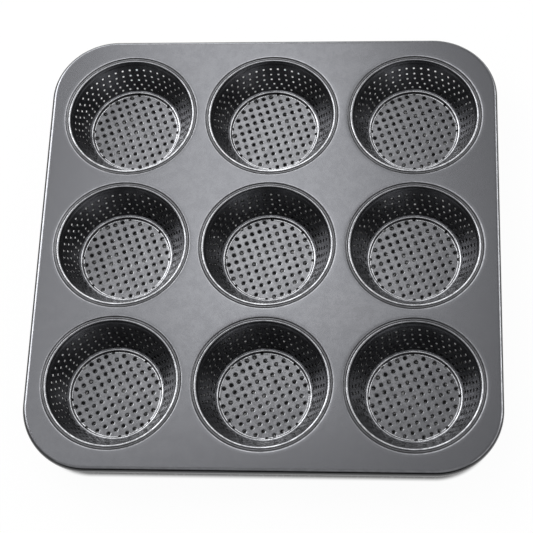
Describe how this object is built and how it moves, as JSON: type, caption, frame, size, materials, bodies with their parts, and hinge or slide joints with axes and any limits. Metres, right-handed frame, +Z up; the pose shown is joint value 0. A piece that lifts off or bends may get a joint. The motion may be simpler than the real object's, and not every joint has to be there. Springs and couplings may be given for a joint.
{
  "type": "perforated muffin pan",
  "caption": "Rounded square muffin pan with rows of shallow perforated cups seated in a flat top plate with a rolled, wired edge.",
  "frame": {"origin": "centre of the pan in plan, level with the undersides of the cups", "axes": "+Z up out of the cups, +X across the pan, +Y from the front edge to the back edge, which is the slightly longer way"},
  "size_m": [0.265, 0.27, 0.0218],
  "materials": {
    "coating": "satin dark grey non-stick coating with a fine sparkle",
    "steel": "plain drawn wire"
  },
  "bodies": {
    "root": {"top_plate": "coating", "rim_wire": "steel", "cup_front_left": "coating", "cup_front_centre": "coating", "cup_front_right": "coating", "cup_middle_left": "coating", "cup_middle_centre": "coating", "cup_middle_right": "coating", "cup_back_left": "coating", "cup_back_centre": "coating", "cup_back_right": "coating"}
  },
  "joints": []
}
